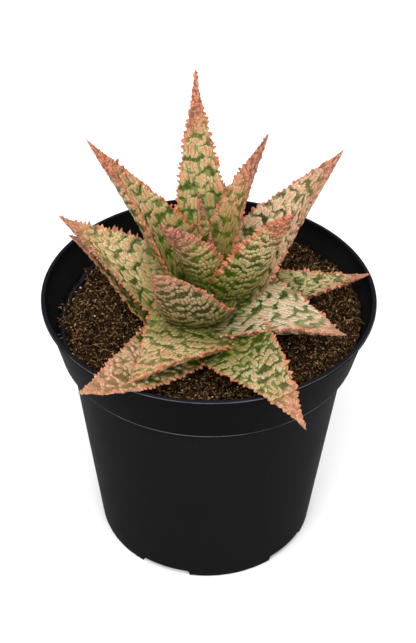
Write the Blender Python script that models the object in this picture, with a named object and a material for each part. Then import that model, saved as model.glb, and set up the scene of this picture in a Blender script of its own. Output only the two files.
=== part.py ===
"""A spotted hybrid aloe in a 152 mm nursery pot.

Metres, +Z up. The origin is the centre of the pot's flat underside, and -Y is the front.
The pieces are the pot, the soil, the short stem and eighteen leaves, from the lowest to the bud.
"""

import math
from collections import namedtuple
from functools import partial

import bmesh
import bpy
import numpy as np
from mathutils import Vector
from mathutils.bvhtree import BVHTree

MM = 0.001
GAP = 0.3 * MM  # clearance that touching pieces keep
CUTTER_GROWTH = 0.4 * MM  # how far a cutter stands out from its solid, all round

# Pot: a thin moulded wall, with a wider collar at the top and a lip that turns outwards
POT_HEIGHT = 135 * MM
POT_WALL = 1.3 * MM
POT_FLOOR = 1.5 * MM
BASE_RADIUS = 52.5 * MM
BODY_TOP_RADIUS = 64.5 * MM
COLLAR_HEIGHT = 26.7 * MM
COLLAR_FOOT_RADIUS = 68.5 * MM
COLLAR_TOP_RADIUS = 74.3 * MM
LIP_RADIUS = 76 * MM
LIP_DEPTH = 2.2 * MM
EDGE_SOFTNESS = 0.6 * MM
POT_SEGMENTS = 60
POT_SHARP_DEGREES = 40

# Drainage slots, cut where the wall meets the floor
SLOT_COUNT = 5
SLOT_FIRST = math.radians(-111.5)
SLOT_SPAN = math.radians(27)
SLOT_HEIGHT = 3.7 * MM
SLOT_REACH = 6 * MM
SLOT_STATIONS = 7

# Soil: uneven, a little higher on the right, sunk in round the stem
SOIL_LEVEL = 121 * MM
SOIL_TILT = 3 * MM
SOIL_DIP = 5 * MM
SOIL_DIP_RADIUS = 20 * MM
SOIL_ROUGHNESS = 0.7 * MM
TALLEST_LUMP = 1.5  # times the roughness
SOIL_SEED = 7
SOIL_CLEARANCE = 2 * GAP  # from the wall, whose flat facets lie nearer than its radius
SOIL_SHOULDER = 3 * POT_WALL
SOIL_FOOT_EDGE = 2 * MM
SOIL_SEGMENTS = 54
SOIL_RINGS = 8
SOIL_SHARP_DEGREES = 30
LEAF_CLEARANCE = 0.9 * MM  # below the underside of a leaf
LEAF_PROBE = 2 * MM

# Stem: short, round and hidden, from its hole in the soil to under the bud
STEM_FOOT = 95 * MM
STEM_TOP = 146 * MM
STEM_RADIUS = 5.5 * MM
STEM_TIP_RADIUS = 1.8 * MM
STEM_TAPER_FROM = 138 * MM
STEM_SEGMENTS = 20

# Leaf form, as shares of a leaf's own length and width
CLASP_SHARE = 0.33  # the part of the length that clasps the stem
CLASP_WIDTH = 0.84
CLASP_CUP = 0.42
CLASP_CUP_POWER = 1.5
CLASP_THICKNESS = 0.35
THICKNESS = 0.2
THICKNESS_POWERS = (2.5, 0.8)  # how late and how abruptly the leaf thins towards its tip
THICKEST = 0.95  # of the half width
FULL_WIDTH = 0.955
STATION_STEP = 2.9 * MM  # two stations make one tooth
FEWEST_TEETH = 6
TOOTH_HEIGHT = 1.7 * MM
TOOTH_LEAN = 0.5 * MM
TOOTH_FULL_AT = 5 * MM  # half width at which teeth have their full height
TOOTH_LEAST = 0.15
TOOTH_RANGE = (0.6, 1.1)
TEETH_FROM = 0.15
LEAF_SHARP_DEGREES = 60
UPPER_POINTS = (-1.0, -0.5, 0.0, 0.5, 1.0)
LOWER_POINTS = (0.55, 0.0, -0.55)

# One leaf: azimuth it leaves the stem at and how far it turns, its rise at root, middle and tip,
# and its roll at root and tip, all in degrees; its length, width, root height and the distance of
# its root from the axis in mm; how deeply its channel is cupped and how quickly it narrows.
Leaf = namedtuple(
    "Leaf",
    "azimuth turn rise_root rise_mid rise_tip roll_root roll_tip length width height start cup taper",
)
LEAVES = {
    "leaf_front_low": Leaf(286, 15, 18, 17, -26, 18, 26, 100, 36.5, 119.5, 6, 0.15, 1.20),
    "leaf_front_left_low": Leaf(247, -14, 13, 18, 23, -6, -26, 103, 33.5, 120, 6, 0.10, 1.10),
    "leaf_left_under": Leaf(176, -15, 4, 41, 20, -47, 9, 70.5, 29.5, 120, 6, 0.40, 1.15),
    "leaf_back_left_low": Leaf(127, 2, 29, 29, 19, -1, 3, 61, 28.5, 123, 6, 0.40, 1.10),
    "leaf_back_right_low": Leaf(84, 0, 34, 25, 18, -5, -4, 64, 25.5, 125, 6, 0.45, 1.10),
    "leaf_right_low": Leaf(10, -4, 22, 10, 15, 27, -18, 71, 27, 122.5, 6, 0.30, 1.15),
    "leaf_front_left": Leaf(258, -30, 24, 13, -14, -18, 31, 77, 43.5, 125.5, 6, -0.10, 1.20),
    "leaf_right_front": Leaf(325, 0, 28, 12, 2, 22, -26, 68.5, 42.5, 128.5, 6, 0.00, 1.15),
    "leaf_left_broad": Leaf(174, -1, 24, 37, 36, -46, 2, 75, 33.5, 127, 6, 0.40, 1.20),
    "leaf_right_high": Leaf(36, -13, 32, 46, 46, 22, -22, 87.5, 35.5, 129, 6, 0.35, 1.10),
    "leaf_inner_front": Leaf(263, -39, 11, 54, 41, 8, 40, 76, 30.5, 130.5, 6, 0.05, 0.75),
    "leaf_left_high": Leaf(165, 13, 60, 58, 53, -27, 13, 89.5, 28, 133, 6, 0.45, 1.15),
    "leaf_inner_right": Leaf(318, 0, 55, 64, 43, -38, -33, 80.5, 23, 131, 6, 0.05, 0.85),
    "leaf_back_tall": Leaf(100, -6, 59, 52, 62, -9, -2, 94.5, 25, 137.5, 6, 0.35, 1.40),
    "leaf_inner_left": Leaf(251, -33, 81, 58, 48, 5, 34, 62.5, 22, 138, 6, 0.35, 0.85),
    "leaf_inner_back": Leaf(51, -14, 82, 63, 59, 6, -7, 70.5, 16.5, 139.5, 6, 0.50, 1.05),
    "leaf_young": Leaf(147, 0, 81, 88, 79, 0, 0, 43, 10.5, 143, 3, 0.60, 1.10),
    "leaf_bud": Leaf(300, 0, 88, 90, 90, 0, 0, 21, 6, 146.8, 0.5, 0.60, 1.05),
}


def clear_scene():
    for old in list(bpy.data.objects):
        bpy.data.objects.remove(old)


def material(name, colour, roughness):
    made = bpy.data.materials.new(name)
    made.use_nodes = True
    shader = made.node_tree.nodes["Principled BSDF"]
    shader.inputs["Base Color"].default_value = (*colour, 1)
    shader.inputs["Roughness"].default_value = roughness
    shader.inputs["Metallic"].default_value = 0
    return made


def smooth(mesh, sharp_degrees):
    mesh.shade_smooth()
    mesh.set_sharp_from_angle(angle=math.radians(sharp_degrees))


def add_object(name, bm, finish, sharp_degrees):
    mesh = bpy.data.meshes.new(name)
    bm.to_mesh(mesh)
    bm.free()
    mesh.materials.append(finish)
    smooth(mesh, sharp_degrees)
    made = bpy.data.objects.new(name, mesh)
    bpy.context.scene.collection.objects.link(made)
    return made


def loft(rings):
    """A closed surface through rings of points. A first or last ring of one point closes an end,
    and a full ring there gets a flat cap."""
    bm = bmesh.new()
    rows = [[bm.verts.new(point) for point in ring] for ring in rings]
    for low, high in zip(rows, rows[1:]):
        count = max(len(low), len(high))
        for i in range(count):
            j = (i + 1) % count
            if len(low) == 1:
                bm.faces.new((low[0], high[j], high[i]))
            elif len(high) == 1:
                bm.faces.new((low[i], low[j], high[0]))
            elif 2 * i < count:
                bm.faces.new((low[i], low[j], high[j]))
                bm.faces.new((low[i], high[j], high[i]))
            else:
                bm.faces.new((low[i], low[j], high[i]))
                bm.faces.new((low[j], high[j], high[i]))
    if len(rows[0]) > 1:
        bm.faces.new(rows[0][::-1])
    if len(rows[-1]) > 1:
        bm.faces.new(rows[-1])
    bmesh.ops.recalc_face_normals(bm, faces=bm.faces)
    return bm


def spun(profile, segments):
    """The solid that a profile of (radius, height) points sweeps round the Z axis."""
    bm = bmesh.new()
    line = [bm.verts.new((radius, 0, height)) for radius, height in profile]
    edges = [bm.edges.new(pair) for pair in zip(line, line[1:])]
    axis = {"cent": (0, 0, 0), "axis": (0, 0, 1)}
    bmesh.ops.spin(bm, geom=line + edges, **axis, angle=math.tau, steps=segments)
    bmesh.ops.remove_doubles(bm, verts=bm.verts, dist=0.01 * MM)
    bmesh.ops.recalc_face_normals(bm, faces=bm.faces)
    return bm


def add_cutter(bm):
    cutter = bpy.data.objects.new("cutter", bpy.data.meshes.new("cutter"))
    bm.to_mesh(cutter.data)
    bm.free()
    bpy.context.scene.collection.objects.link(cutter)
    cutter.hide_render = True
    cutter.display_type = "WIRE"
    return cutter


def cut(target, cutter):
    """Takes the cutter out of the target and keeps the largest body that is left."""
    boolean = target.modifiers.new("cut", "BOOLEAN")
    boolean.operation = "DIFFERENCE"
    boolean.solver = "EXACT"
    boolean.object = cutter
    graph = bpy.context.evaluated_depsgraph_get()
    bm = bmesh.new()
    bm.from_object(target, graph)
    target.modifiers.remove(boolean)
    bpy.data.objects.remove(cutter)
    bodies = []
    left = set(bm.faces)
    while left:
        body, edge_of_body = set(), [left.pop()]
        while edge_of_body:
            face = edge_of_body.pop()
            body.add(face)
            for edge in face.edges:
                for other in edge.link_faces:
                    if other in left:
                        left.remove(other)
                        edge_of_body.append(other)
        bodies.append(body)
    bodies.sort(key=lambda body: sum(face.calc_area() for face in body))
    for scrap in bodies[:-1]:
        bmesh.ops.delete(bm, geom=list(scrap), context="FACES")
    bmesh.ops.triangulate(bm, faces=bm.faces)
    bm.to_mesh(target.data)
    bm.free()


def tree_of(obj):
    bm = bmesh.new()
    bm.from_mesh(obj.data)
    tree = BVHTree.FromBMesh(bm)
    bm.free()
    return tree


def pot_inner_radius(height):
    """The inside of the wall at a height: the body, and the wider collar above its ledge."""
    ledge = POT_HEIGHT - COLLAR_HEIGHT + POT_WALL
    if height < ledge:
        return np.interp(height, (0, ledge), (BASE_RADIUS, BODY_TOP_RADIUS)) - POT_WALL
    return np.interp(height, (ledge, POT_HEIGHT), (COLLAR_FOOT_RADIUS, COLLAR_TOP_RADIUS)) - POT_WALL


def make_pot():
    collar_foot = POT_HEIGHT - COLLAR_HEIGHT
    lip_foot = POT_HEIGHT - LIP_DEPTH
    soft = EDGE_SOFTNESS
    shoulder = collar_foot + 2 * POT_WALL
    profile = [
        (0, 0),
        (BASE_RADIUS - 2 * soft, 0),
        (BASE_RADIUS, 2 * soft),
        (BODY_TOP_RADIUS, collar_foot - soft),
        (BODY_TOP_RADIUS + soft, collar_foot),
        (COLLAR_FOOT_RADIUS - soft, collar_foot),
        (COLLAR_FOOT_RADIUS, collar_foot + soft),
        (COLLAR_TOP_RADIUS, lip_foot),
        (LIP_RADIUS - soft, lip_foot + soft),
        (LIP_RADIUS, POT_HEIGHT - soft),
        (LIP_RADIUS - soft, POT_HEIGHT),
        (COLLAR_TOP_RADIUS, POT_HEIGHT - soft),
        (pot_inner_radius(lip_foot), lip_foot - POT_WALL),
        (pot_inner_radius(shoulder), shoulder),
        (pot_inner_radius(shoulder) - POT_WALL, collar_foot + POT_WALL),
        (pot_inner_radius(collar_foot), collar_foot + POT_WALL),
        (pot_inner_radius(collar_foot - POT_WALL), collar_foot - POT_WALL),
        (pot_inner_radius(POT_FLOOR + soft), POT_FLOOR + soft),
        (pot_inner_radius(POT_FLOOR) - soft, POT_FLOOR),
        (0, POT_FLOOR),
    ]
    plastic = material("moulded black plastic", (0.014, 0.014, 0.015), 0.5)
    pot = add_object("pot", spun(profile, POT_SEGMENTS), plastic, POT_SHARP_DEGREES)
    for number in range(SLOT_COUNT):
        middle = SLOT_FIRST + number * math.tau / SLOT_COUNT
        cut(pot, slot_cutter(middle))
    smooth(pot.data, POT_SHARP_DEGREES)


def slot_cutter(middle):
    """A curved block that crosses the corner between the wall and the floor."""
    radii = (BASE_RADIUS - SLOT_REACH, BASE_RADIUS + SLOT_REACH)
    section = [(r, -SLOT_REACH) for r in radii] + [(r, SLOT_HEIGHT) for r in radii[::-1]]
    rings = []
    for angle in np.linspace(middle - SLOT_SPAN / 2, middle + SLOT_SPAN / 2, SLOT_STATIONS):
        rings.append([(r * math.cos(angle), r * math.sin(angle), z) for r, z in section])
    return add_cutter(loft(rings))


def clasp(t):
    """1 at the root of a leaf, falling to 0 where the blade is free of the stem."""
    return np.clip(1 - t / CLASP_SHARE, 0, 1)


def half_width(leaf, t):
    narrowing = (1 - t**2) ** leaf.taper / FULL_WIDTH
    return leaf.width * MM / 2 * narrowing * (1 - (1 - CLASP_WIDTH) * clasp(t) ** 2)


def thickness(leaf, t):
    swelling = 1 - (1 - CLASP_THICKNESS) * clasp(t) ** 2
    late, abrupt = THICKNESS_POWERS
    full = THICKNESS * leaf.width * MM * swelling * (1 - t**late) ** abrupt
    return np.minimum(full, THICKEST * half_width(leaf, t))


def leaf_frame(leaf, t):
    """Points along a leaf's middle, with its forward, upward and sideways directions there."""
    azimuth = np.radians(leaf.azimuth + leaf.turn * t)
    near, half, far = (1 - t) * (1 - 2 * t), 4 * t * (1 - t), t * (2 * t - 1)
    rise = np.radians(leaf.rise_root * near + leaf.rise_mid * half + leaf.rise_tip * far)
    outward = np.stack([np.cos(azimuth), np.sin(azimuth), np.zeros(len(t))], -1)
    straight_up = np.array([0, 0, 1])
    rise = rise[:, None]
    forward = np.cos(rise) * outward + np.sin(rise) * straight_up
    upward = np.cos(rise) * straight_up - np.sin(rise) * outward
    side = np.cross(forward, upward)
    roll = np.radians(leaf.roll_root + (leaf.roll_tip - leaf.roll_root) * t)[:, None]
    upward = upward * np.cos(roll) + side * np.sin(roll)
    side = np.cross(forward, upward)
    out = math.radians(leaf.azimuth)
    root = np.array([leaf.start * math.cos(out), leaf.start * math.sin(out), leaf.height]) * MM
    steps = (forward[1:] + forward[:-1]) / 2 * np.diff(t)[:, None] * leaf.length * MM
    middle = root + np.vstack([np.zeros(3), np.cumsum(steps, axis=0)])
    return middle, forward, upward, side


def leaf_mesh(leaf, seed, grow=0.0):
    """A channelled blade with a keeled underside and a toothed margin. One that is grown, to cut
    its neighbours with, has a blunt margin, so that it stands clear of the real one all round."""
    stations = 2 * max(FEWEST_TEETH, round(leaf.length * MM / STATION_STEP / 2)) + 1
    t = np.linspace(0, 1, stations)
    middle, forward, upward, side = leaf_frame(leaf, t)
    wide = half_width(leaf, t)
    cup = (leaf.cup + CLASP_CUP * clasp(t) ** CLASP_CUP_POWER) * wide
    deep = thickness(leaf, t)
    middle[0] -= forward[0] * grow
    middle[-1] += forward[-1] * 2 * grow
    random = np.random.default_rng(seed)
    full_tooth = TOOTH_HEIGHT * np.clip(wide / TOOTH_FULL_AT, TOOTH_LEAST, 1)
    full_tooth *= np.clip(t / TEETH_FROM, 0, 1)
    rings = []
    for i in range(stations - 1):
        edges = {}
        for x in (-1.0, 1.0):
            tooth = full_tooth[i] * random.uniform(*TOOTH_RANGE) * (i % 2)
            edges[x] = side[i] * x * (tooth + grow) + forward[i] * TOOTH_LEAN * (i % 2)
        ring = []
        for x in UPPER_POINTS:
            over = cup[i] * x * x + grow * (1 + abs(x))
            ring.append(middle[i] + side[i] * wide[i] * x + upward[i] * over + edges.get(x, 0))
        for x in (1.0, *LOWER_POINTS, -1.0) if grow else LOWER_POINTS:
            under = cup[i] * x * x - deep[i] * (1 - x * x) - grow
            ring.append(middle[i] + side[i] * wide[i] * x + upward[i] * under + edges.get(x, 0))
        rings.append(ring)
    rings.append([middle[-1]])
    return loft(rings)


def make_leaves():
    """The youngest leaf is made first, and each older one is cut clear of the stem and of the
    younger ones that it clasps."""
    blade = material("leaf", (0.42, 0.36, 0.2), 0.45)
    inner_shapes = [partial(stem_mesh, CUTTER_GROWTH)]
    for seed, (name, leaf) in reversed(list(enumerate(LEAVES.items()))):
        made = add_object(name, leaf_mesh(leaf, seed), blade, LEAF_SHARP_DEGREES)
        for shape in inner_shapes:
            cut_if_touching(made, add_cutter(shape()))
        inner_shapes.append(partial(leaf_mesh, leaf, seed, CUTTER_GROWTH))
    return [bpy.data.objects[name] for name in LEAVES]


def cut_if_touching(target, cutter):
    if tree_of(target).overlap(tree_of(cutter)):
        cut(target, cutter)
        smooth(target.data, LEAF_SHARP_DEGREES)
    else:
        bpy.data.objects.remove(cutter)


def stem_mesh(grow=0.0):
    profile = [
        (0, STEM_FOOT - grow),
        (STEM_RADIUS + grow, STEM_FOOT - grow),
        (STEM_RADIUS + grow, STEM_TAPER_FROM),
        (STEM_TIP_RADIUS + grow, STEM_TOP + grow),
        (0, STEM_TOP + grow),
    ]
    return spun(profile, STEM_SEGMENTS)


def make_stem():
    add_object("stem", stem_mesh(), material("stem", (0.3, 0.33, 0.14), 0.6), POT_SHARP_DEGREES)


def soil_level(x, y):
    """The height of the soil before crumbs and leaves press on it."""
    dip = SOIL_DIP * math.exp(-((math.hypot(x, y) / SOIL_DIP_RADIUS) ** 2))
    return SOIL_LEVEL + SOIL_TILT * x / BODY_TOP_RADIUS - dip


def make_soil(leaves):
    """Peat that fills the pot, with a plain hole for the stem."""
    random = np.random.default_rng(SOIL_SEED)
    trees = [tree_of(leaf) for leaf in leaves]
    angles = np.arange(SOIL_SEGMENTS) * math.tau / SOIL_SEGMENTS

    def pressed(x, y, height):
        """The height, or less where a leaf lies close above."""
        for tree in trees:
            for dx, dy in ((0, 0), (1, 0), (-1, 0), (0, 1), (0, -1)):
                start = Vector((x + dx * LEAF_PROBE, y + dy * LEAF_PROBE, STEM_FOOT))
                above = tree.ray_cast(start, Vector((0, 0, 1)))[0]
                if above is not None:
                    height = min(height, above.z - LEAF_CLEARANCE)
        return height

    def ring(radius, height):
        return [(radius * math.cos(a), radius * math.sin(a), height) for a in angles]

    foot = POT_FLOOR + GAP
    ledge = POT_HEIGHT - COLLAR_HEIGHT + POT_WALL + GAP
    neck = ledge - SOIL_SHOULDER
    rings = [
        [(0, 0, foot)],
        ring(pot_inner_radius(foot) - SOIL_FOOT_EDGE, foot),
        ring(pot_inner_radius(foot) - SOIL_CLEARANCE, foot + SOIL_FOOT_EDGE),
        ring(pot_inner_radius(neck) - SOIL_CLEARANCE, neck),
        ring(pot_inner_radius(neck) - SOIL_CLEARANCE, ledge),
        ring(pot_inner_radius(ledge) - 2 * POT_WALL, ledge),
    ]
    hole = STEM_RADIUS + GAP
    for step in np.linspace(0, 1, SOIL_RINGS):
        top = []
        for a in angles:
            lowest = soil_level(BODY_TOP_RADIUS * math.cos(a), 0) - SOIL_ROUGHNESS
            wall = pot_inner_radius(lowest) - SOIL_CLEARANCE
            radius = wall + (hole - wall) * step
            x, y = radius * math.cos(a), radius * math.sin(a)
            lump = np.clip(random.normal(), -TALLEST_LUMP, TALLEST_LUMP) * (0 < step < 1)
            top.append((x, y, pressed(x, y, soil_level(x, y) + lump * SOIL_ROUGHNESS)))
        rings.append(top)
    rings.append(ring(hole, STEM_FOOT - GAP))
    rings.append([(0, 0, STEM_FOOT - GAP)])
    peat = material("peat", (0.045, 0.024, 0.012), 0.95)
    add_object("soil", loft(rings), peat, SOIL_SHARP_DEGREES)


clear_scene()
make_pot()
make_stem()
make_soil(make_leaves())
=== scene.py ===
"""A spotted hybrid aloe in a black nursery pot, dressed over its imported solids."""

import math
from collections import namedtuple
from types import SimpleNamespace

import bpy
import numpy as np
from mathutils import Matrix, Vector
from mathutils.bvhtree import BVHTree


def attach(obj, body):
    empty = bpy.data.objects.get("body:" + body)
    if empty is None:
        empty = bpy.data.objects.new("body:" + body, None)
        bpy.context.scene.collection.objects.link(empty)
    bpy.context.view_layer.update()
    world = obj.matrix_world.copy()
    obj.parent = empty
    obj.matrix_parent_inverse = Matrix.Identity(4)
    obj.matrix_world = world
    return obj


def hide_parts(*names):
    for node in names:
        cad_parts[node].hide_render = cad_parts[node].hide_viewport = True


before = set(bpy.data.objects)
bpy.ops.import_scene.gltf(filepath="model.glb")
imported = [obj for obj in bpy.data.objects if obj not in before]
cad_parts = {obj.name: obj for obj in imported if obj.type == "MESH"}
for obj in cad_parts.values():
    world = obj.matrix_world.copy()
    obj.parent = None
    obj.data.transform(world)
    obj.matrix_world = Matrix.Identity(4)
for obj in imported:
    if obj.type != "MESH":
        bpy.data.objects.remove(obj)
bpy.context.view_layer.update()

MM = 0.001

# Camera, in metres, as found from the pot's outline in the photograph
CAMERA_PLACE = Vector((0, -0.49227, 0.51192))
CAMERA_RIGHT = Vector((0.999872, 0.010268, 0.012236))
CAMERA_UP = Vector((-0.015969, 0.625839, 0.779789))
CAMERA_FORWARD = Vector((-0.000349, 0.779884, -0.625923))
SENSOR = 36
FOCAL_PIXELS = 1366
IMAGE_HEIGHT = 643

# Pot, in mm
POT_HEIGHT = 135
POT_WALL = 1.3
POT_FLOOR = 1.5
BASE_RADIUS = 52.5
BODY_TOP_RADIUS = 64.5
COLLAR_HEIGHT = 26.7
COLLAR_FOOT_RADIUS = 68.5
COLLAR_TOP_RADIUS = 74.3
LIP_RADIUS = 76
LIP_DEPTH = 2.2
POT_SIDES = 192
SLOT_COUNT = 5
SLOT_FIRST = math.radians(-111.5)
SLOT_SIZE = (11, 24.5, 7.4)
SLOT_SOFTNESS = 1.2
CORNER_STEPS = 4

# Fold of film on the peat, in mm and degrees
STRIP_WIDTH = 3.6
STRIP_HEIGHT = 1.3
STRIP_THICKNESS = 0.4
STRIP_TURNS = (142, 160, 187, 209)
STRIP_RADII = (66.6, 64.6, 65.2, 66.4)

# Peat, in mm. Its height is read from the CAD soil, no farther out than the probe radius, and
# the spare height is taken where a reading misses. Crumbs and fibres reach no deeper into the
# pot's wall than the bite.
SOIL_SIDES = 260
SOIL_RINGS = 108
SOIL_RADIUS = 68.5
PROBE_RADIUS = 66.5
SPARE_HEIGHT = 110
WALL_BITE = 0.4
LEAF_CLEARANCE = 2
CRUMB_COUNT = 4600
CRUMB_SIZE = 2.2
FIBRE_COUNT = 1800
FIBRE_LENGTHS = (1.6, 4.4)
FIBRE_THICKNESS = 0.17
FIBRE_STEPS = 5
GRAIN_COUNT = 320
GRAIN_SIZE = 0.8
GRAIN_FRONT = -42
GRAIN_SHARE = 0.25

# Leaf form, as in the part's source: shares of a leaf's own length and width, and mm
CLASP_SHARE = 0.33
CLASP_WIDTH = 0.84
CLASP_CUP = 0.42
CLASP_THICKNESS = 0.35
THICKNESS = 0.2
FULL_WIDTH = 0.955
RIM = 0.45
TIP_RADIUS = 0.6
TIP_LENGTH = 2.5

# Dressed blade, in mm: steps of its mesh, and how far it runs back from the leaf's root
MESH_ALONG = 0.4
MESH_ACROSS = 0.58
ROOT_INSET = 4

Leaf = namedtuple(
    "Leaf",
    "azimuth turn rise_root rise_mid rise_tip roll_root roll_tip length width height start cup taper"
    " skin teeth",
)
LEAVES = {
    "leaf_front_low": Leaf(286, 15, 18, 17, -26, 18, 26, 100, 36.5, 119.5, 6, 0.15, 1.20, "outer", 1.1),
    "leaf_front_left_low": Leaf(247, -14, 13, 18, 23, -6, -26, 103, 33.5, 120, 6, 0.10, 1.10, "ripe", 1.25),
    "leaf_left_under": Leaf(176, -15, 4, 41, 20, -47, 9, 70.5, 29.5, 120, 6, 0.40, 1.15, "outer", 1.0),
    "leaf_back_left_low": Leaf(127, 2, 29, 29, 19, -1, 3, 61, 28.5, 123, 6, 0.40, 1.10, "outer", 1.0),
    "leaf_back_right_low": Leaf(84, 0, 34, 25, 18, -5, -4, 64, 25.5, 125, 6, 0.45, 1.10, "outer", 1.0),
    "leaf_right_low": Leaf(10, -4, 22, 10, 15, 27, -18, 71, 27, 122.5, 6, 0.30, 1.15, "outer", 1.4),
    "leaf_front_left": Leaf(258, -30, 24, 13, -14, -18, 31, 77, 43.5, 125.5, 6, -0.10, 1.20, "beige", 1.1),
    "leaf_right_front": Leaf(325, 0, 28, 12, 2, 22, -26, 68.5, 42.5, 128.5, 6, 0.00, 1.15, "pale", 1.3),
    "leaf_left_broad": Leaf(174, -1, 24, 37, 36, -46, 2, 75, 33.5, 127, 6, 0.40, 1.20, "sandy", 2.0),
    "leaf_right_high": Leaf(36, -13, 32, 46, 46, 22, -22, 87.5, 35.5, 129, 6, 0.35, 1.10, "peach", 1.4),
    "leaf_inner_front": Leaf(263, -39, 11, 54, 41, 8, 40, 76, 30.5, 130.5, 6, 0.05, 0.75, "grey", 1.0),
    "leaf_left_high": Leaf(165, 13, 60, 58, 53, -27, 13, 89.5, 28, 133, 6, 0.45, 1.15, "inner", 1.3),
    "leaf_inner_right": Leaf(318, 0, 55, 64, 43, -38, -33, 80.5, 23, 131, 6, 0.05, 0.85, "inner", 1.0),
    "leaf_back_tall": Leaf(100, -6, 59, 52, 62, -9, -2, 94.5, 25, 137.5, 6, 0.35, 1.40, "inner", 1.3),
    "leaf_inner_left": Leaf(251, -33, 81, 58, 48, 5, 34, 62.5, 22, 138, 6, 0.35, 0.85, "young", 1.15),
    "leaf_inner_back": Leaf(51, -14, 82, 63, 59, 6, -7, 70.5, 16.5, 139.5, 6, 0.50, 1.05, "rusty", 1.4),
    "leaf_young": Leaf(147, 0, 81, 88, 79, 0, 0, 43, 10.5, 143, 3, 0.60, 1.10, "young", 0.9),
    "leaf_bud": Leaf(300, 0, 88, 90, 90, 0, 0, 21, 6, 146.8, 0.5, 0.60, 1.05, "young", 0.6),
}

# Spots in mm: pitch across, pitch of the rows, bar left free between two rows, and relief
Spotting = namedtuple("Spotting", "pitch row_pitch bar relief")
SPOTTING = {
    "outer": Spotting(1.75, 5.2, 1.5, 0.2),
    "pale": Spotting(1.85, 6.6, 1.6, 0.18),
    "sandy": Spotting(1.9, 5.6, 1.1, 0.22),
    "beige": Spotting(1.85, 5.2, 1.1, 0.28),
    "ripe": Spotting(2.5, 4.9, 1.2, 0.6),
    "grey": Spotting(1.8, 7.0, 2.2, 0.4),
    "peach": Spotting(1.8, 6.8, 1.9, 0.24),
    "inner": Spotting(2.0, 6.8, 1.9, 0.28),
    "rusty": Spotting(1.7, 5.8, 1.3, 0.3),
    "young": Spotting(1.5, 5.4, 1.4, 0.3),
}
WARTS = Spotting(1.7, 4.9, 1.8, 0.26)

# A spot's usual half width as a share of the pitch, and the straight part that leaves a spot out
USUAL_HALF_WIDTH = 0.43
NO_SPOT = -9

# Point that all lights face, in metres
LIGHT_AIM = (0, 0, 0.12)

# Shader tools


def srgb(*levels):
    """Screen levels from 0 to 255 as the linear colour that Blender uses."""
    shares = [level / 255 for level in levels]
    return tuple(s / 12.92 if s <= 0.04045 else ((s + 0.055) / 1.055) ** 2.4 for s in shares)


class Wire:
    """A node's output. Arithmetic on it adds Math nodes to its material."""

    def __init__(self, finish, socket):
        self.finish = finish
        self.socket = socket

    def math(self, operation, *others):
        return self.finish.add("Math", {"operation": operation}, [self, *others])

    def __add__(self, other):
        return self.math("ADD", other)

    __radd__ = __add__

    def __sub__(self, other):
        return self.math("SUBTRACT", other)

    def __rsub__(self, other):
        return self.finish.add("Math", {"operation": "SUBTRACT"}, [other, self])

    def __mul__(self, other):
        return self.math("MULTIPLY", other)

    __rmul__ = __mul__

    def __truediv__(self, other):
        return self.math("DIVIDE", other)

    def __rtruediv__(self, other):
        return self.finish.add("Math", {"operation": "DIVIDE"}, [other, self])

    def __pow__(self, other):
        return self.math("POWER", other)

    def __abs__(self):
        return self.math("ABSOLUTE")

    def at_least(self, other):
        return self.math("MAXIMUM", other)

    def at_most(self, other):
        return self.math("MINIMUM", other)

    def steps(self, low, high):
        """0 below low and 1 above high, with a soft step between."""
        settings = {"interpolation_type": "SMOOTHSTEP"}
        return self.finish.add("MapRange", settings, [self, low, high])


class Finish:
    """A material that is put together from nodes."""

    def __init__(self, name, **constants):
        self.material = bpy.data.materials.new(name)
        self.material.use_nodes = True
        self.tree = self.material.node_tree
        self.shader = self.tree.nodes["Principled BSDF"]
        for socket, value in constants.items():
            self.shader.inputs[socket.replace("_", " ")].default_value = value

    def link(self, value, socket):
        if isinstance(value, Wire):
            self.tree.links.new(value.socket, socket)
        elif socket.type == "RGBA":
            socket.default_value = (*value, 1)
        else:
            socket.default_value = value

    def add(self, kind, settings=None, values=(), output=0):
        """A new node's output. Its settings come first, then its sockets' values or links."""
        node = self.tree.nodes.new("ShaderNode" + kind)
        for key, value in (settings or {}).items():
            setattr(node, key, value)
        places = values.items() if isinstance(values, dict) else enumerate(values)
        for place, value in places:
            self.link(value, node.inputs[place])
        return Wire(self, node.outputs[output])

    def mix(self, share, low, high):
        """A colour between two others."""
        return self.add("Mix", {"data_type": "RGBA"}, {0: share, 6: low, 7: high}, 2)

    def places(self):
        return self.add("TexCoord", output="Object")

    def noise(self, size, detail=2, where=None):
        """Noise whose lumps are about this many mm across, from 0 to 1."""
        where = where or self.places()
        values = {"Vector": where, "Scale": 1 / (size * MM), "Detail": detail}
        return self.add("TexNoise", {}, values)

    def split(self, vector):
        """A vector's or a colour's three numbers."""
        parts = self.add("SeparateXYZ", {}, [vector])
        return [Wire(self, output) for output in parts.socket.node.outputs]

    def sway(self, size):
        """Three noises at once, each from about -1 to 1."""
        values = {"Vector": self.places(), "Scale": 1 / (size * MM), "Detail": 1}
        parts = self.split(self.add("TexNoise", {}, values, "Color"))
        return [(part - 0.5) * 4 for part in parts]

    def attribute(self, name):
        """The three numbers that the mesh stores under a name."""
        return self.split(self.add("Attribute", {"attribute_name": name}, output="Vector"))

    def bump(self, height, depth):
        """Relief of this many mm where the height goes from 0 to 1."""
        values = {"Height": height, "Distance": depth * MM}
        self.show("Normal", self.add("Bump", {}, values))

    def show(self, socket, value):
        self.link(value, self.shader.inputs[socket])


# Materials


ROOT_GREEN = srgb(60, 90, 4)
DEEP_GREEN = srgb(26, 30, 4)
ROOT_SPOT = srgb(132, 144, 64)
GROWN_SPOT = srgb(198, 134, 108)
WORN_BROWN = srgb(112, 62, 44)
SPECK_BROWN = srgb(52, 44, 20)
GLINT = srgb(224, 210, 190)

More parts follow.
